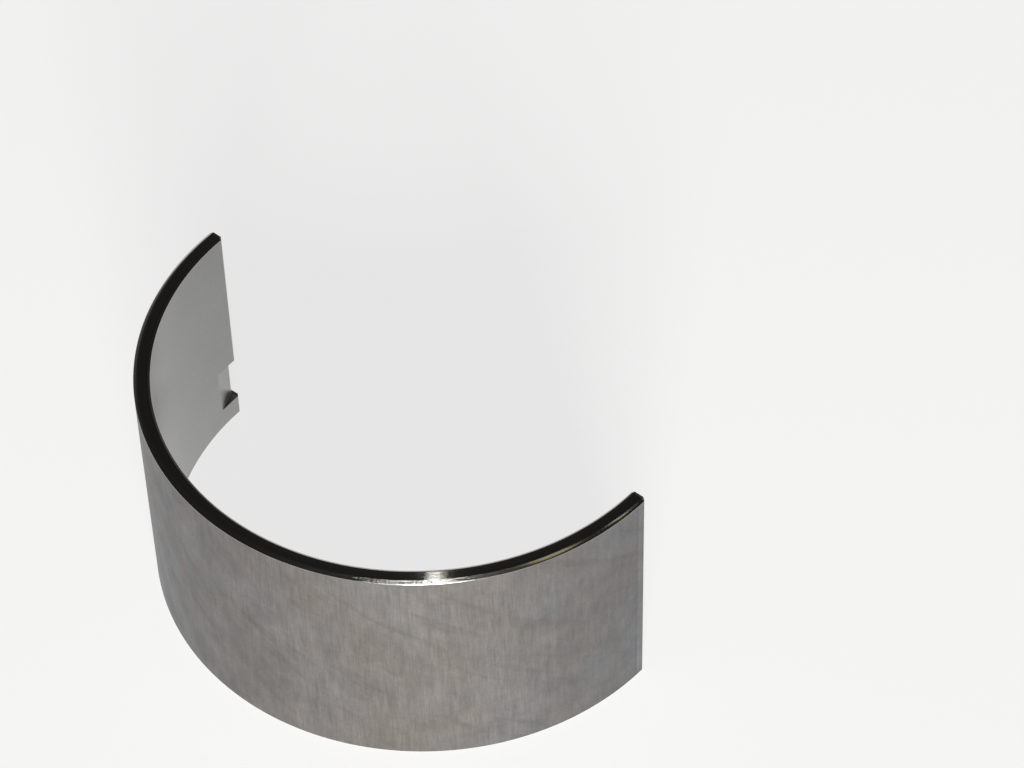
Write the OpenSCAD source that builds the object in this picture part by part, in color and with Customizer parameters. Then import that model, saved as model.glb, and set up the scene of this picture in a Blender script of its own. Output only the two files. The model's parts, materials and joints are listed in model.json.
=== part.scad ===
// Plain half shell of an engine bearing, drawn at its fitted shape, in millimetres.
// The bore runs along Z with its middle at the origin, the back bulges towards -Y,
// and both joint faces lie in the plane y = 0 and face +Y.

/* [Wall] */
// Diameter of the bore that runs on the journal
bore_d = 63.5; // [45:0.5:90]
// Thickness of the wall, from the bore to the back
wall = 2; // [1.5:0.1:3]
// Width of the shell along the bore, from side face to side face
shell_width = 31.5; // [22:0.5:45]

/* [Edges] */
// Chamfer between the back and each side face, measured across the wall
back_chamfer = 0.46; // [0.2:0.02:0.6]
// Chamfer between the bore and each side face, measured across the wall
bore_chamfer = 0.34; // [0.1:0.02:0.5]
// Slope of these two chamfers, measured from the side face
side_chamfer_angle = 30; // [20:1:45]
// Chamfer between the back and each joint face
joint_back_chamfer = 0.3; // [0.1:0.02:0.5]
// Chamfer between the bore and each joint face
joint_bore_chamfer = 0.3; // [0.1:0.02:0.5]

/* [Bore relief] */
// Depth of the eccentric relief at the joint faces
relief_depth = 0.03; // [0.01:0.01:0.06]
// Distance below the joint faces at which the relief runs out into the bore
relief_reach = 8; // [4:0.5:12]

/* [Locating tang] */
// Width of the tang along the bore
tang_width = 6.5; // [3:0.5:10]
// Length of the tang, from the joint face down to the line that it is bent about
tang_length = 3.5; // [2.5:0.5:6]
// Angle that the tang is bent outwards
tang_angle = 17; // [8:1:22]
// Distance from the lower side face to the tang
tang_inset = 3.2; // [1:0.2:6]
// Distance that the end of the tang lies below the joint face
tang_drop = 0.25; // [0.1:0.05:0.5]

/* [Hidden] */
$fn = 240;

bore_r = bore_d / 2;
back_r = bore_r + wall;
half_width = shell_width / 2;
// Distance from the middle of the width to where each side chamfer runs out into the back or the bore
back_edge = half_width - back_chamfer * tan(side_chamfer_angle);
bore_edge = half_width - bore_chamfer * tan(side_chamfer_angle);
// Overshoot of a cutting solid past the face that it cuts
cut_margin = 1;

// The relief is a cylinder beside the bore's own. It passes relief_depth outside the bore in the joint
// plane, and crosses the bore at relief_reach below that plane.
relief_joint_r = bore_r + relief_depth;
relief_shift = (relief_joint_r * relief_joint_r - bore_r * bore_r) / (2 * relief_reach);
relief_r = sqrt(relief_joint_r * relief_joint_r + relief_shift * relief_shift);

// The tang is the end of the wall on the -X side, swung outwards about a line on the bore
tang_hinge = [-sqrt(bore_r * bore_r - tang_length * tang_length), -tang_length, 0];
tang_low = -half_width + tang_inset;

// Section of the wall, with its four edges chamfered
module wall_section() {
    polygon([
        [bore_r + bore_chamfer, -half_width],
        [back_r - back_chamfer, -half_width],
        [back_r, -back_edge],
        [back_r, back_edge],
        [back_r - back_chamfer, half_width],
        [bore_r + bore_chamfer, half_width],
        [bore_r, bore_edge],
        [bore_r, -bore_edge]
    ]);
}

module half_ring() {
    rotate([0, 0, 180])
        rotate_extrude(angle = 180)
            wall_section();
}

// Cutter for the edge between a joint face and the wall at radius r. outward is 1 on the back, -1 in the bore.
module joint_edge_cutter(r, chamfer, outward) {
    reach = chamfer + cut_margin;
    translate([r, 0, -half_width - cut_margin])
        linear_extrude(shell_width + 2 * cut_margin)
            polygon([
                [-outward * reach, cut_margin],
                [outward * cut_margin, -reach],
                [outward * cut_margin, cut_margin]
            ]);
}

module joint_edge_cutters() {
    for (side = [0, 1])
        mirror([side, 0, 0]) {
            joint_edge_cutter(back_r, joint_back_chamfer, 1);
            joint_edge_cutter(bore_r, joint_bore_chamfer, -1);
        }
}

module relief_cutter() {
    translate([0, relief_shift, -half_width - cut_margin])
        cylinder(r = relief_r, h = shell_width + 2 * cut_margin);
}

// Round bar about the bore's axis, as wide as the tang and swung with it
module swung_bar(r) {
    translate(tang_hinge)
        rotate([0, 0, tang_angle])
            translate([-tang_hinge.x, -tang_hinge.y, tang_low])
                cylinder(r = r, h = tang_width);
}

// Block beside the bore on the -X side, as wide as the tang, from y = low to y = high
module tang_block(low, high) {
    depth = wall + tang_length;
    translate([-bore_r - depth, low, tang_low])
        cube([depth, high - low, tang_width]);
}

// Swung end of the wall, where it stands out of the back
module tang() {
    intersection() {
        swung_bar(back_r);
        tang_block(tang_hinge.y, -tang_drop);
    }
}

// Room that the swung end leaves in the bore and at the joint face
module tang_pocket() {
    swung_bar(bore_r);
    tang_block(-tang_drop, cut_margin);
}

module bearing_shell() {
    color("#8e8a86")
        difference() {
            union() {
                difference() {
                    half_ring();
                    joint_edge_cutters();
                    relief_cutter();
                }
                tang();
            }
            tang_pocket();
        }
}

bearing_shell();
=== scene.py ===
"""Looks of a plain engine bearing shell: its mesh in place of the solid, metals, studio and camera."""
import json
import math
from typing import NamedTuple

import bmesh
import bpy
from mathutils import Matrix, Vector, noise


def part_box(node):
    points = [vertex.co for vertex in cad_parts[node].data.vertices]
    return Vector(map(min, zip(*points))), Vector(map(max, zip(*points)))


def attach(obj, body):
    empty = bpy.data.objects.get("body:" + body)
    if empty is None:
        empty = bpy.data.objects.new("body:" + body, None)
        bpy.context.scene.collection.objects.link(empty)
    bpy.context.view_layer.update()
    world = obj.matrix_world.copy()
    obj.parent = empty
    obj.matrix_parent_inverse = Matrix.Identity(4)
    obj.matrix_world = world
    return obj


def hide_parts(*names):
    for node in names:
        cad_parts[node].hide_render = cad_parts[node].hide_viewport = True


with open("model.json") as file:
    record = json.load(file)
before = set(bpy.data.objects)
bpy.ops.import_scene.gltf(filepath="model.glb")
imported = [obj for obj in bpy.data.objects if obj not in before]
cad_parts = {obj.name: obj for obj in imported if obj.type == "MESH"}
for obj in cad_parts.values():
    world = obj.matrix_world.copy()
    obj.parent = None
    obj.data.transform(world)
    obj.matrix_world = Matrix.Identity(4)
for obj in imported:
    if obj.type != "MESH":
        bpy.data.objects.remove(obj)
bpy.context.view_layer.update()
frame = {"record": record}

MM = 0.001
NODE = "bearing_shell"

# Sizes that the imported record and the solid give, in metres
mounts = {mount["name"]: mount for mount in frame["record"]["mounts"]}
bore_r = mounts["journal_bore"]["dims"]["r_mm"] * MM
back_r = mounts["housing_back"]["dims"]["r_mm"] * MM
half_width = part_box(NODE)[1].z
middle_r = (bore_r + back_r) / 2

# Edges of the wall
BACK_CHAMFER = 0.46 * MM
BORE_CHAMFER = 0.34 * MM
SIDE_CHAMFER_ANGLE = math.radians(30)
JOINT_CHAMFER = 0.29 * MM
EDGE_BREAK = 0.05 * MM

# Unevenness of the machined edges: its height, and its features to the millimetre round and across the wall
BURR = 0.004 * MM
BURR_ROUND = 0.7
BURR_ACROSS = 2.1
BURR_SEED = 0.5

# Eccentric relief of the bore at the joint faces
RELIEF_DEPTH = 0.03 * MM
RELIEF_REACH = 8 * MM

# Locating tang on the -X end. Its sides slant over the width of the shear.
TANG_WIDTH = 6.5 * MM
TANG_LENGTH = 3.5 * MM
TANG_ANGLE = math.radians(17)
TANG_INSET = 3.2 * MM
TANG_DROP = 0.25 * MM
TANG_SHEAR = 0.16 * MM

# Fineness of the mesh
CORNER_STEPS = 3
ROW_STEP = 1.5 * MM
TANG_ROW_STEP = ROW_STEP / 2
SHEAR_STEP = TANG_SHEAR / 5
SHEAR_REACH = 0.75 * TANG_SHEAR
ARC_STEP = math.radians(0.75)
TANG_ARC_STEP = math.radians(0.3)
TANG_ARC_LENGTH = 1.3 * TANG_LENGTH
SAME_SPOT = 0.001 * MM
COUNT_SLACK = 1e-9

# Places of the metals in the shell's list of materials
BACK, LINING, EDGE, SIDE, JOINT = range(5)
# A face of the back or the lining that faces along the bore by more than this is a sheared side of the tang
SHEARED_SLOPE = 0.6

# UV map in millimetres: distance round the wall, and distance round the section from the bore's lower edge
UNROLLED = "unrolled"


class Section(NamedTuple):
    """Closed section of the wall: (radius, height) points in order, and the metal of the side after each."""
    points: list
    metals: list
    bore_count: int
    top_count: int


class Station(NamedTuple):
    """A ring of the wall, at an angle round the bore or, near an end, at a depth below the joint faces."""
    angle: float = None
    depth: float = None
    right_end: bool = False
    inset: float = 0.0


def rounded(points, size):
    """The points of an open line, with each inner corner replaced by a short round of the given size."""
    line = [Vector(points[0])]
    for before, corner, after in zip(points, points[1:], points[2:]):
        corner = Vector(corner)
        start = corner + (Vector(before) - corner).normalized() * size
        end = corner + (Vector(after) - corner).normalized() * size
        for step in range(CORNER_STEPS + 1):
            t = step / CORNER_STEPS
            line.append(start * (1 - t) ** 2 + corner * 2 * t * (1 - t) + end * t ** 2)
    return line + [Vector(points[-1])]


def spaced(low, high, step):
    """Evenly spaced values from low to high, both included, at most a step apart."""
    count = max(1, math.ceil((high - low) / step - COUNT_SLACK))
    return [low + (high - low) * i / count for i in range(count + 1)]


# The tang's hinge line on the bore, and where the bore's axis goes when the tang is swung about it
hinge = Vector((-math.sqrt(bore_r ** 2 - TANG_LENGTH ** 2), -TANG_LENGTH))
swung_axis = hinge - Matrix.Rotation(TANG_ANGLE, 2) @ hinge
tang_low = -half_width + TANG_INSET
tang_high = tang_low + TANG_WIDTH

# The relief's own cylinder, beside the bore's
relief_joint_r = bore_r + RELIEF_DEPTH
relief_axis = Vector((0, (relief_joint_r ** 2 - bore_r ** 2) / (2 * RELIEF_REACH)))
relief_r = math.hypot(relief_joint_r, relief_axis.y)


def reach(axis, radius, angle):
    """Distance from the bore's axis to a cylinder about another axis, in the direction of an angle."""
    along = axis.x * math.cos(angle) + axis.y * math.sin(angle)
    return along + math.sqrt(radius ** 2 - axis.length_squared + along ** 2)


def tang_share(z):
    """1 on the tang, 0 beside it, with a steep sheared side between them."""
    rise = (z - tang_low) / TANG_SHEAR + 0.5
    fall = (tang_high - z) / TANG_SHEAR + 0.5
    return min(max(min(rise, fall), 0.0), 1.0)


def station_angle(station, radius):
    """Angle round the bore at which a station meets a radius of the wall."""
    if station.depth is None:
        return station.angle
    turn = math.asin(station.depth / radius)
    return 2 * math.pi - turn if station.right_end else math.pi + turn


def dropped_angle(angle, radius, share):
    """Angle of a point after the end of the tang is lowered below the joint face."""
    depth = -radius * math.sin(angle)
    if share == 0 or math.cos(angle) >= 0 or depth >= TANG_LENGTH:
        return angle
    dropped = depth + TANG_DROP * share * (1 - depth / TANG_LENGTH)
    return math.pi + math.asin(dropped / radius)


def place(radius, z, station):
    """Point of the wall at a radius, a height and a station, with its angle round the bore."""
    share = tang_share(z)
    angle = dropped_angle(station_angle(station, radius), radius, share)
    swing = max(0.0, reach(swung_axis, radius, angle) - radius) * share
    relief = max(0.0, reach(relief_axis, relief_r, angle) - bore_r)
    towards_bore = min(max((back_r - radius) / (back_r - bore_r), 0.0), 1.0)
    final = radius + swing + relief * towards_bore
    return Vector((final * math.cos(angle), final * math.sin(angle), z)), angle


def row_heights(limit):
    """Heights of the rows on the bore or the back, close together at the sides of the tang."""
    heights = spaced(-limit, tang_low - SHEAR_REACH, ROW_STEP)
    heights += spaced(tang_low - SHEAR_REACH, tang_low + SHEAR_REACH, SHEAR_STEP)[1:]
    heights += spaced(tang_low + SHEAR_REACH, tang_high - SHEAR_REACH, TANG_ROW_STEP)[1:]
    heights += spaced(tang_high - SHEAR_REACH, tang_high + SHEAR_REACH, SHEAR_STEP)[1:]
    return heights + spaced(tang_high + SHEAR_REACH, limit, ROW_STEP)[1:]


def section():
    """The wall's section: up the bore, over the top edges, down the back and under the bottom edges."""
    bore_top = half_width - BORE_CHAMFER * math.tan(SIDE_CHAMFER_ANGLE)
    back_top = half_width - BACK_CHAMFER * math.tan(SIDE_CHAMFER_ANGLE)
    corners = [
        (bore_r, bore_top - 2 * EDGE_BREAK),
        (bore_r, bore_top),
        (bore_r + BORE_CHAMFER, half_width),
        (back_r - BACK_CHAMFER, half_width),
        (back_r, back_top),
        (back_r, back_top - 2 * EDGE_BREAK),
    ]
    # The line's first two and last two points lie on the bore and the back, which have their own rows
    top = [tuple(point) for point in rounded(corners, EDGE_BREAK)[2:-2]]
    bottom = [(radius, -z) for radius, z in reversed(top)]
    bore = [(bore_r, z) for z in row_heights(bore_top - EDGE_BREAK)]
    back = [(back_r, z) for z in reversed(row_heights(back_top - EDGE_BREAK))]
    per_corner = CORNER_STEPS + 1
    top_metals = [EDGE] * (per_corner + per_corner // 2 - 1) + [SIDE] * per_corner
    top_metals += [EDGE] * (len(top) - len(top_metals) - 1)
    metals = [LINING] * (len(bore) - 1) + [EDGE] + top_metals + [EDGE]
    metals += [BACK] * (len(back) - 1) + [EDGE] + top_metals[::-1] + [EDGE]
    return Section(bore + top + back + bottom, metals, len(bore), len(top))


def stations():
    """Rings of the wall, from the joint face with the tang to the plain one."""
    corners = [
        (0, 3 * JOINT_CHAMFER),
        (0, JOINT_CHAMFER),
        (JOINT_CHAMFER, 0),
        (2 * JOINT_CHAMFER, 0),
    ]
    ends = rounded(corners, EDGE_BREAK)[1:-1]
    first_angle = math.pi + 4 * JOINT_CHAMFER / back_r
    tang_angle = math.pi + TANG_ARC_LENGTH / bore_r
    last_angle = 3 * math.pi - first_angle
    angles = spaced(first_angle, tang_angle, TANG_ARC_STEP) + spaced(tang_angle, last_angle, ARC_STEP)[1:]
    rings = [Station(depth=end.y, inset=end.x) for end in reversed(ends)]
    rings += [Station(angle=angle) for angle in angles]
    return rings + [Station(depth=end.y, inset=end.x, right_end=True) for end in ends]


def burr(u, v):
    """Small unevenness of a machined edge, at a place in millimetres round and across the wall."""
    return BURR * noise.noise(Vector((u * BURR_ROUND, v * BURR_ACROSS, BURR_SEED)))


def section_lengths(points):
    """Distance round the section to each of its points and back to the first, in millimetres."""
    lengths = [0.0]
    for (r0, z0), (r1, z1) in zip(points, points[1:] + points[:1]):
        lengths.append(lengths[-1] + math.hypot(r1 - r0, z1 - z0) / MM)
    return lengths


def make_ring(build, outline, station):
    """Vertices of the wall at a station, each with its distance round the wall in millimetres."""
    lid = EDGE_BREAK * min(station.inset / JOINT_CHAMFER, 1.0)
    ring = []
    for (radius, z), metal in zip(outline.points, outline.metals):
        inset_radius = min(max(radius, bore_r + station.inset), back_r - station.inset)
        height = min(max(z, lid - half_width), half_width - lid)
        spot, angle = place(inset_radius, height, station)
        u = (angle - math.pi) * middle_r / MM
        if metal == EDGE and station.inset == 0:
            unevenness = burr(u, z / MM)
            spot.x += unevenness * math.cos(angle)
            spot.y += unevenness * math.sin(angle)
        ring.append((build.verts.new(spot), u))
    return ring


def add_face(build, corners, metal):
    """Smooth face through corners, each a vertex and its place on the UV map."""
    face = build.faces.new([vertex for vertex, _, _ in corners])
    face.normal_update()
    sheared = metal in (BACK, LINING) and abs(face.normal.z) > SHEARED_SLOPE
    face.material_index = JOINT if sheared else metal
    face.smooth = True
    unrolled = build.loops.layers.uv[UNROLLED]
    for loop, (_, u, v) in zip(face.loops, corners):
        loop[unrolled].uv = (u, v)


def add_band(build, here, there, lengths, metals):
    """Faces between two neighbouring rings."""
    for i, metal in enumerate(metals):
        k = (i + 1) % len(metals)
        corners = [
            (*here[i], lengths[i]),
            (*there[i], lengths[i]),
            (*there[k], lengths[i + 1]),
            (*here[k], lengths[i + 1]),
        ]
        add_face(build, corners, metal)


def add_cap(build, ring, outline, flip):
    """Joint face across the wall: strips from the bore's rows to the back's, and the top and bottom ends."""
    count = len(ring)

    def corner(index):
        vertex = ring[index % count][0]
        return vertex, math.hypot(vertex.co.x, vertex.co.y) / MM, vertex.co.z / MM

    last_bore = outline.bore_count - 1
    back_start = outline.bore_count + outline.top_count
    back_end = back_start + last_bore
    strips = [[i, i + 1, back_end - i - 1, back_end - i] for i in range(last_bore)]
    strips.append(list(range(last_bore, back_start + 1)))
    strips.append(list(range(back_end, count + 1)))
    for strip in strips:
        add_face(build, [corner(i) for i in (reversed(strip) if flip else strip)], JOINT)


def shell_mesh():
    outline = section()
    lengths = section_lengths(outline.points)
    rings = stations()
    build = bmesh.new()
    build.loops.layers.uv.new(UNROLLED)
    grid = [make_ring(build, outline, station) for station in rings]
    joint_metals = [JOINT] * len(outline.points)
    for here, there, station, following in zip(grid, grid[1:], rings, rings[1:]):
        at_joint = station.depth is not None and following.depth is not None
        add_band(build, here, there, lengths, joint_metals if at_joint else outline.metals)
    add_cap(build, grid[0], outline, True)
    add_cap(build, grid[-1], outline, False)
    bmesh.ops.remove_doubles(build, verts=build.verts, dist=SAME_SPOT)
    bmesh.ops.recalc_face_normals(build, faces=build.faces)
    mesh = bpy.data.meshes.new("shell")
    build.to_mesh(mesh)
    build.free()
    return mesh


# Most of a noise's values lie between these
NOISE_LOW = 0.3
NOISE_HIGH = 0.7


class Shader:
    """A material's nodes, added with short calls. A socket takes a number, a colour or a node's output."""

    def __init__(self, name):
        self.material = bpy.data.materials.new(name)
        self.material.use_nodes = True
        self.tree = self.material.node_tree
        self.tree.nodes.clear()

    def add(self, kind, sockets=None, output=0, **settings):
        node = self.tree.nodes.new(kind)
        for name, value in settings.items():
            setattr(node, name, value)
        for name, value in (sockets or {}).items():
            if isinstance(value, bpy.types.NodeSocket):
                self.tree.links.new(value, node.inputs[name])
            else:
                node.inputs[name].default_value = value
        return node.outputs[output]

    def noise(self, across, along, detail=3.0, offset=(0, 0, 0), turn=0.0):
        """Noise on the UV map, with the given number of features to the millimetre in its u and v."""
        sockets = {"Vector": self.add("ShaderNodeUVMap", uv_map=UNROLLED), "Rotation": (0, 0, turn)}
        turned = self.add("ShaderNodeMapping", sockets)
        sockets = {"Vector": turned, "Location": offset, "Scale": (across, along, 1)}
        scaled = self.add("ShaderNodeMapping", sockets)
        return self.add("ShaderNodeTexNoise", {"Vector": scaled, "Scale": 1.0, "Detail": detail})

    def round_wall(self):
        """Distance round the wall from the tang's joint face, in millimetres."""
        spot = self.add("ShaderNodeUVMap", uv_map=UNROLLED)
        return self.add("ShaderNodeSeparateXYZ", {"Vector": spot})

    def round_section(self):
        """Distance round the section from the bore's lower edge, in millimetres."""
        spot = self.add("ShaderNodeUVMap", uv_map=UNROLLED)
        return self.add("ShaderNodeSeparateXYZ", {"Vector": spot}, output=1)

    def distance_from(self, middle):
        """Distance round the wall from a place on it, either way, in millimetres."""
        return self.math("ABSOLUTE", self.math("SUBTRACT", self.round_wall(), middle))

    def scallops(self, per_mm, steepest, wander):
        """Normal of a face turned by a round-nosed tool: each line is a shallow hollow across the wall."""
        phase = self.math("FRACT", self.math("MULTIPLY_ADD", self.round_section(), per_mm, wander))
        slope = self.math("MULTIPLY", self.ramp(phase, 0.0, 1.0, -1.0, 1.0), steepest)
        position = self.add("ShaderNodeNewGeometry")
        level = self.add("ShaderNodeVectorMath", {0: position, 1: (1, 1, 0)}, operation="MULTIPLY")
        outward = self.add("ShaderNodeVectorMath", {0: level}, operation="NORMALIZE")
        lean = self.add("ShaderNodeVectorMath", {0: outward, "Scale": slope}, operation="SCALE")
        normal = self.add("ShaderNodeNewGeometry", output=1)
        leaning = self.add("ShaderNodeVectorMath", {0: normal, 1: lean}, operation="ADD")
        return self.add("ShaderNodeVectorMath", {0: leaning}, operation="NORMALIZE")

    def ramp(self, value, low, high, to_low=0.0, to_high=1.0):
        """Number that goes from to_low to to_high as a value goes from low to high."""
        sockets = {"Value": value, "From Min": low, "From Max": high, "To Min": to_low, "To Max": to_high}
        return self.add("ShaderNodeMapRange", sockets)

    def vary(self, pattern, low=0.0, high=1.0):
        """Number that goes from low to high with a noise."""
        return self.ramp(pattern, NOISE_LOW, NOISE_HIGH, low, high)

    def math(self, operation, *values):
        return self.add("ShaderNodeMath", dict(enumerate(values)), operation=operation)

    def mix(self, share, a, b, blend="MIX"):
        """Colour a turned into colour b by a share."""
        sockets = {0: share, 6: a, 7: b}
        return self.add("ShaderNodeMix", sockets, output=2, data_type="RGBA", blend_type=blend)

    def shade(self, colour, amount):
        """A colour made lighter or darker by a number."""
        return self.mix(1.0, colour, amount, "MULTIPLY")

    def bump(self, height, depth, under=None):
        """Normal of a surface with a height pattern of the given depth, over another normal if any."""
        sockets = {"Height": height, "Distance": depth}
        if under is not None:
            sockets["Normal"] = under
        return self.add("ShaderNodeBump", sockets)

    def finish(self, colour, roughness, normal, anisotropic=0.0, turn=0.0):
        """Metal whose reflections stretch round the wall, or along the section at a quarter turn."""
        tangent = self.add("ShaderNodeTangent", direction_type="UV_MAP", uv_map=UNROLLED)
        sockets = {
            "Base Color": colour, "Metallic": 1.0, "Roughness": roughness, "Normal": normal,
            "Anisotropic": anisotropic, "Anisotropic Rotation": turn, "Tangent": tangent,
        }
        self.add_output(self.add("ShaderNodeBsdfPrincipled", sockets))
        return self.material

    def add_output(self, surface):
        node = self.tree.nodes.new("ShaderNodeOutputMaterial")
        self.tree.links.new(surface, node.inputs["Surface"])


QUARTER_TURN = 0.25

# Steel of the back
COOL_STEEL = (0.172, 0.175, 0.180, 1)
# The warm steel is also lighter: a painted highlight laid on the middle of the back, which faces the front
# box
WARM_PAINTED_HIGHLIGHT_STEEL = (0.216, 0.199, 0.186, 1)
SMEAR_COLOUR = (0.135, 0.12, 0.105, 1)
SCRATCH_COLOUR = (0.28, 0.27, 0.26, 1)
# Middle of its warm, lighter stretch (a painted highlight) and of its lined stretch round the wall, and
# distances from there, in millimetres
BACK_MIDDLE = 70.0
PAINTED_HIGHLIGHT_NEAR = 8.0
PAINTED_HIGHLIGHT_FAR = 34.0
LINED_NEAR = 14.0
LINED_FAR = 34.0
FAINT_LINES = 0.4
# Light band along each joint face and the dark line beside it: distances from that face, in millimetres
LIGHT_BAND_END = 1.2
DARK_LINE_START = 1.35
DARK_LINE_END = 1.4
PLAIN_BACK_START = 1.8
LIGHT_BAND_SHADE = 1.14
DARK_LINE_SHADE = 0.92


def back_metal():
    """Satin steel back: fine lines along the bore, a warm, lighter middle that is a painted highlight,
    clouding, smears and small scratches.
    """
    s = Shader("steel_back")
    fine = s.noise(6.0, 0.3, detail=4.0)
    broad = s.noise(1.4, 0.14, detail=4.0, offset=(31, 7, 0))
    grain = s.noise(2.6, 2.0, detail=2.0, offset=(8, 61, 0))
    blotch = s.noise(0.75, 0.5, detail=4.0, offset=(25, 77, 0))
    cloud = s.noise(0.26, 0.2, detail=5.0, offset=(5, 50, 0))
    patch = s.noise(0.09, 0.08, detail=4.0, offset=(70, 21, 0))
    smear = s.noise(0.1, 0.55, offset=(12, 90, 0), turn=-0.6)
    scratch = s.noise(0.3, 9.0, detail=1.0, offset=(44, 3, 0), turn=0.9)
    tone = s.noise(0.3, 0.2, offset=(90, 13, 0))
    from_middle = s.distance_from(BACK_MIDDLE)
    # Painted highlight: towards its middle the back turns to the lighter, warm steel, with random warm tone
    # from noise on top
    painted_highlight_and_tone = s.ramp(from_middle, PAINTED_HIGHLIGHT_NEAR, PAINTED_HIGHLIGHT_FAR, 0.8, 0.1)
    painted_highlight_and_tone = s.math("ADD", painted_highlight_and_tone, s.vary(patch, -0.3, 0.3))
    painted_highlight_and_tone = s.math("ADD", painted_highlight_and_tone, s.vary(tone, -0.25, 0.25))
    painted_highlight_and_tone = s.math("MINIMUM", s.math("MAXIMUM", painted_highlight_and_tone, 0.0), 1.0)
    colour = s.mix(painted_highlight_and_tone, COOL_STEEL, WARM_PAINTED_HIGHLIGHT_STEEL)
    for pattern, low, high in ((cloud, 0.90, 1.10), (patch, 1.10, 0.90), (blotch, 0.94, 1.06)):
        colour = s.shade(colour, s.vary(pattern, low, high))
    lined = s.ramp(from_middle, LINED_NEAR, LINED_FAR, 1.0, FAINT_LINES)
    for pattern, depth in ((broad, 0.09), (fine, 0.11)):
        colour = s.shade(colour, s.math("MULTIPLY_ADD", s.vary(pattern, -depth, depth), lined, 1.0))
    colour = s.shade(colour, s.vary(grain, 0.95, 1.05))
    colour = s.mix(s.ramp(smear, 0.56, 0.72, 0.0, 0.4), colour, SMEAR_COLOUR)
    colour = s.mix(s.ramp(scratch, 0.72, 0.76, 0.0, 0.3), colour, SCRATCH_COLOUR)
    along = s.round_wall()
    from_end = s.math("MINIMUM", along, s.math("SUBTRACT", math.pi * middle_r / MM, along))
    band = s.ramp(from_end, LIGHT_BAND_END, DARK_LINE_START, LIGHT_BAND_SHADE, DARK_LINE_SHADE)
    after_band = s.ramp(from_end, DARK_LINE_END, PLAIN_BACK_START, 1.0, 1 / DARK_LINE_SHADE)
    colour = s.shade(s.shade(colour, band), after_band)
    roughness = s.math("ADD", s.vary(fine, -0.03, 0.03), s.vary(cloud, 0.62, 0.56))
    normal = s.bump(broad, 0.012 * MM, under=s.bump(fine, 0.003 * MM))
    return s.finish(colour, roughness, normal, anisotropic=0.1)


DARK_LINING = (0.292, 0.293, 0.288, 1)
PALE_LINING = (0.318, 0.316, 0.308, 1)
# Painted light and shade: the lining is lighter near its lower edge and darker towards the top, standing in
# for brighter floor mirrored low down
LOW_LINING_PAINTED_LIGHT = 1.14
HIGH_LINING_PAINTED_SHADE = 0.94


def lining_metal():
    """Smooth grey lining with very fine bored lines round the bore, and painted light and shade: lighter low
    down, a little darker towards the top.
    """
    s = Shader("bore_lining")
    bored = s.noise(0.03, 9.0)
    cloud = s.noise(0.12, 0.16, detail=4.0, offset=(9, 33, 0))
    grain = s.noise(2.2, 2.2, detail=2.0, offset=(80, 5, 0))
    colour = s.mix(s.ramp(cloud, 0.35, 0.65), DARK_LINING, PALE_LINING)
    colour = s.shade(colour, s.vary(bored, 0.97, 1.03))
    colour = s.shade(colour, s.vary(grain, 0.97, 1.03))
    # Painted light and shade: lighter low and darker high round the section
    rise = s.ramp(s.round_section(), 0.0, 2 * half_width / MM, LOW_LINING_PAINTED_LIGHT, HIGH_LINING_PAINTED_SHADE)
    colour = s.shade(colour, rise)
    roughness = s.math("ADD", s.vary(bored, -0.02, 0.02), s.vary(cloud, 0.28, 0.34))
    return s.finish(colour, roughness, s.bump(bored, 0.001 * MM), anisotropic=0.3, turn=QUARTER_TURN)


TOOL_LINES_PER_MM = 12
STEEPEST_TOOL_LINE = math.tan(math.radians(18))
DARK_SIDE = (0.34, 0.325, 0.30, 1)
PALE_SIDE = (0.47, 0.455, 0.425, 1)
DULL_SIDE = (0.30, 0.28, 0.25, 1)


def side_metal():
    """Turned side face: concentric tool lines that catch a light as a narrow streak."""
    s = Shader("turned_side")
    wander = s.noise(0.25, 1.2, offset=(3, 14, 0))
    lines = s.noise(0.012, 11.0, detail=1.0)
    steepest = s.vary(lines, 0.9 * STEEPEST_TOOL_LINE, 1.1 * STEEPEST_TOOL_LINE)
    normal = s.scallops(TOOL_LINES_PER_MM, steepest, s.noise(0.02, 3.0, offset=(7, 2, 0)))
    colour = s.mix(s.vary(lines), DARK_SIDE, PALE_SIDE)
    colour = s.mix(s.ramp(wander, 0.4, 0.75, 0.0, 0.3), colour, DULL_SIDE)
    roughness = s.vary(wander, 0.075, 0.09)
    return s.finish(colour, roughness, normal, anisotropic=0.8, turn=QUARTER_TURN)


# Chatter of the chamfers: the middle of its stretch round the wall, and distances from there, in millimetres
CHATTER_MIDDLE = 71.0
CHATTER_FULL = 2.0
CHATTER_END = 8.0
DULL_EDGE_END = 12.0
SMOOTH_EDGE_START = 20.0
CHATTER_DEPTH = 0.045 * MM
CHATTER_POLISH = 0.06
DARK_EDGE = (0.40, 0.39, 0.37, 1)
PALE_EDGE = (0.48, 0.47, 0.45, 1)


def edge_metal():
    """Bright turned chamfers, with chatter on one stretch and smoother ends."""
    s = Shader("turned_edge")
    chatter = s.noise(5.0, 4.0, detail=1.0)
    lines = s.noise(0.05, 14.0, offset=(2, 8, 0))
    from_middle = s.distance_from(CHATTER_MIDDLE)
    where = s.ramp(from_middle, CHATTER_FULL, CHATTER_END, 1.0, 0.0)
    colour = s.mix(s.vary(chatter), DARK_EDGE, PALE_EDGE)
    dullness = s.ramp(from_middle, DULL_EDGE_END, SMOOTH_EDGE_START, 0.19, 0.13)
    roughness = s.math("ADD", s.vary(lines, -0.02, 0.02), dullness)
    roughness = s.math("SUBTRACT", roughness, s.math("MULTIPLY", where, CHATTER_POLISH))
    return s.finish(colour, roughness, s.bump(s.math("MULTIPLY", chatter, where), CHATTER_DEPTH))


DARK_JOINT = (0.40, 0.385, 0.36, 1)
PALE_JOINT = (0.52, 0.505, 0.48, 1)
DULL_JOINT = (0.33, 0.31, 0.285, 1)


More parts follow.
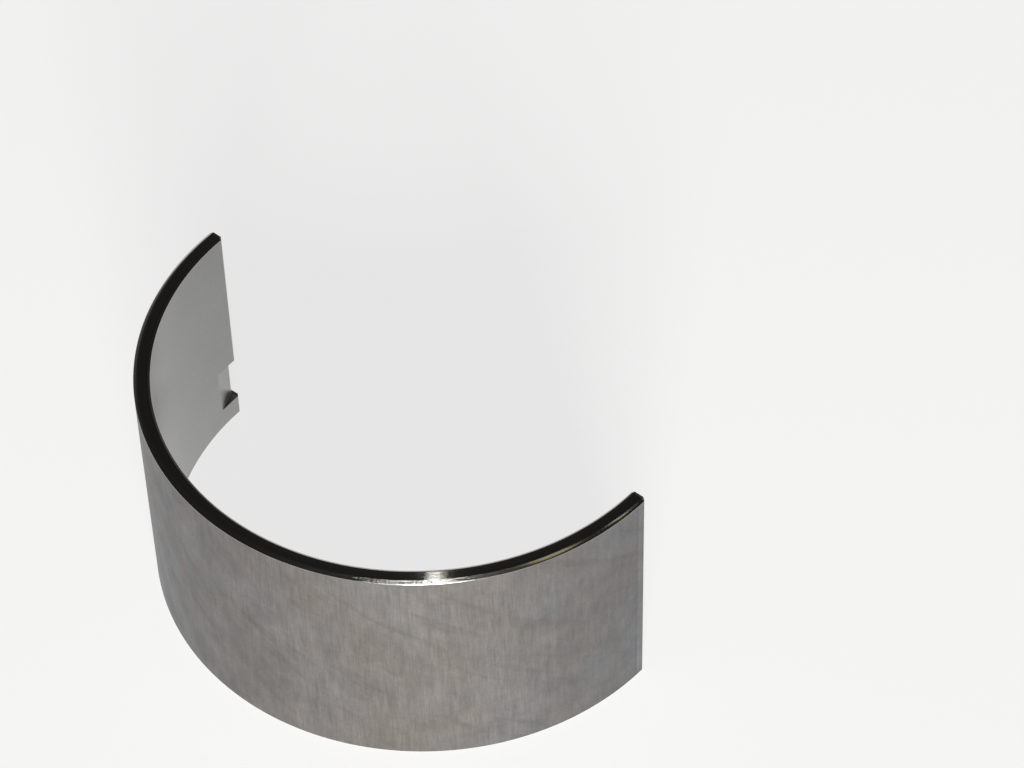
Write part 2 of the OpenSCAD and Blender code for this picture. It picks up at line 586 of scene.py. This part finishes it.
def joint_metal():
    """Broached joint faces, with straight tool lines along the bore."""
    s = Shader("broached_joint")
    lines = s.noise(11.0, 0.04)
    patch = s.noise(0.6, 0.3, offset=(17, 4, 0))
    colour = s.mix(s.vary(lines), DARK_JOINT, PALE_JOINT)
    colour = s.mix(s.ramp(patch, 0.45, 0.75, 0.0, 0.3), colour, DULL_JOINT)
    roughness = s.math("ADD", s.vary(lines, -0.04, 0.05), s.vary(patch, 0.26, 0.34))
    return s.finish(colour, roughness, s.bump(lines, 0.004 * MM), anisotropic=0.5)


def make_shell():
    shell = bpy.data.objects.new("shell", shell_mesh())
    bpy.context.scene.collection.objects.link(shell)
    for material in (back_metal(), lining_metal(), edge_metal(), side_metal(), joint_metal()):
        shell.data.materials.append(material)
    weighted = shell.modifiers.new("weighted_normals", "WEIGHTED_NORMAL")
    weighted.mode = "FACE_AREA"
    weighted.weight = 50
    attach(shell, "root")
    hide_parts(NODE)


FLOOR_RADIUS = 4.0
FLOOR_SEGMENTS = 96
FLOOR_GAP = 0.01 * MM
FLOOR_COLOUR = (0.9, 0.9, 0.9, 1)
FLOOR_SHINE_SHARE = 0.76
WHITE = (1, 1, 1, 1)


def floor_paper():
    """Pale paper. What looks at it sees part of it as plain white, and the rest keeps the shadow."""
    s = Shader("floor")
    light_path = s.tree.nodes.new("ShaderNodeLightPath")
    seen = s.math("MAXIMUM", light_path.outputs["Is Camera Ray"], light_path.outputs["Is Glossy Ray"])
    seen = s.math("MAXIMUM", seen, light_path.outputs["Is Transmission Ray"])
    share = s.math("MULTIPLY", seen, FLOOR_SHINE_SHARE)
    paper = s.add("ShaderNodeBsdfDiffuse", {"Color": FLOOR_COLOUR})
    white = s.add("ShaderNodeEmission", {"Color": WHITE, "Strength": 1.0})
    s.add_output(s.add("ShaderNodeMixShader", {0: share, 1: paper, 2: white}))
    return s.material


def make_floor():
    mesh = bpy.data.meshes.new("floor")
    build = bmesh.new()
    bmesh.ops.create_circle(build, cap_ends=True, segments=FLOOR_SEGMENTS, radius=FLOOR_RADIUS)
    build.to_mesh(mesh)
    build.free()
    floor = bpy.data.objects.new("floor", mesh)
    floor.location.z = -half_width - FLOOR_GAP
    bpy.context.scene.collection.objects.link(floor)
    mesh.materials.append(floor_paper())


# Light of the studio's walls and ceiling. Upwards between two heights, the first fades into the second.
HORIZON_LIGHT = 0.15
CEILING_LIGHT = 0.03
FADE_START = 0.05
FADE_END = 0.5


def make_world():
    """Pale walls low down and a dark ceiling above, the same in all directions."""
    world = bpy.data.worlds.new("studio")
    bpy.context.scene.world = world
    world.use_nodes = True
    nodes = world.node_tree.nodes
    links = world.node_tree.links
    nodes.clear()
    place_in_sky = nodes.new("ShaderNodeTexCoord")
    split = nodes.new("ShaderNodeSeparateXYZ")
    links.new(place_in_sky.outputs["Generated"], split.inputs[0])
    fade = nodes.new("ShaderNodeMapRange")
    fade.interpolation_type = "SMOOTHSTEP"
    fade.inputs["From Min"].default_value = FADE_START
    fade.inputs["From Max"].default_value = FADE_END
    fade.inputs["To Min"].default_value = HORIZON_LIGHT
    fade.inputs["To Max"].default_value = CEILING_LIGHT
    links.new(split.outputs["Z"], fade.inputs["Value"])
    sky = nodes.new("ShaderNodeBackground")
    links.new(fade.outputs[0], sky.inputs["Strength"])
    output = nodes.new("ShaderNodeOutputWorld")
    links.new(sky.outputs[0], output.inputs["Surface"])


# Camera at the photograph's angle. It looks at the floor under the bore, moved right and up in the picture.
CAMERA_AZIMUTH = math.radians(41.16)
CAMERA_ELEVATION = math.radians(47.81)
CAMERA_ROLL = math.radians(-1.53)
CAMERA_DISTANCE = 459.4 * MM
CAMERA_RIGHT = 10.1 * MM
CAMERA_UP = 18.3 * MM
CLIP_START = 10 * MM
SENSOR_WIDTH = 36
IMAGE_WIDTH_PX = 1024
FOCAL_PX = 3721


def direction(azimuth, elevation):
    """Unit vector from the object towards an azimuth, which is 0 on the -Y side, and an elevation."""
    level = math.cos(elevation)
    return Vector((math.sin(azimuth) * level, -math.cos(azimuth) * level, math.sin(elevation)))


def make_camera():
    data = bpy.data.cameras.new("camera")
    data.sensor_width = SENSOR_WIDTH
    data.lens = SENSOR_WIDTH * FOCAL_PX / IMAGE_WIDTH_PX
    data.clip_start = CLIP_START
    camera = bpy.data.objects.new("camera", data)
    bpy.context.scene.collection.objects.link(camera)
    back = direction(CAMERA_AZIMUTH, CAMERA_ELEVATION)
    level = Vector((math.cos(CAMERA_AZIMUTH), math.sin(CAMERA_AZIMUTH), 0))
    upright = back.cross(level)
    right = level * math.cos(CAMERA_ROLL) + upright * math.sin(CAMERA_ROLL)
    up = upright * math.cos(CAMERA_ROLL) - level * math.sin(CAMERA_ROLL)
    spot = back * CAMERA_DISTANCE + right * CAMERA_RIGHT + up * CAMERA_UP
    spot.z -= half_width
    camera.matrix_world = Matrix.LocRotScale(spot, Matrix((right, up, back)).transposed(), None)
    bpy.context.scene.camera = camera


LAMP_DISTANCE = 1.0
FRONT_DISTANCE = 1.4
PLAIN_TINT = (1, 1, 1)
WARM_TINT = (1.0, 0.98, 0.96)
GOLD_TINT = (1.0, 0.89, 0.55)
PALE_GOLD_TINT = (1.0, 0.92, 0.68)


def make_lamp(name, azimuth, elevation, size, power, tint=PLAIN_TINT, distance=LAMP_DISTANCE):
    """Soft box facing the object: angles in degrees, width and height in metres, power in watts."""
    data = bpy.data.lights.new(name, "AREA")
    data.shape = "RECTANGLE"
    data.size, data.size_y = size
    data.energy = power
    data.color = tint
    lamp = bpy.data.objects.new(name, data)
    bpy.context.scene.collection.objects.link(lamp)
    towards = direction(math.radians(azimuth), math.radians(elevation))
    lamp.location = towards * distance
    lamp.rotation_mode = "QUATERNION"
    lamp.rotation_quaternion = (-towards).to_track_quat("-Z", "Y")


def make_lights():
    """A front box lights the back. The chamfers and the side face mirror the other, smaller lamps."""
    make_lamp("overhead_strip", 43, 69, size=(0.016, 0.5), power=0.85)
    make_lamp("far_strip", 41.7, 100, size=(0.025, 0.21), power=0.22)
    make_lamp("front_box", 43, 14, size=(0.5, 0.4), power=42, tint=WARM_TINT, distance=FRONT_DISTANCE)
    make_lamp("right_box", 102, 61.5, size=(0.17, 0.18), power=0.062, tint=GOLD_TINT)
    make_lamp("right_card", 128, 52, size=(0.05, 0.12), power=0.018, tint=PALE_GOLD_TINT)


bpy.context.scene.view_settings.view_transform = "Standard"
make_shell()
make_floor()
make_world()
make_camera()
make_lights()
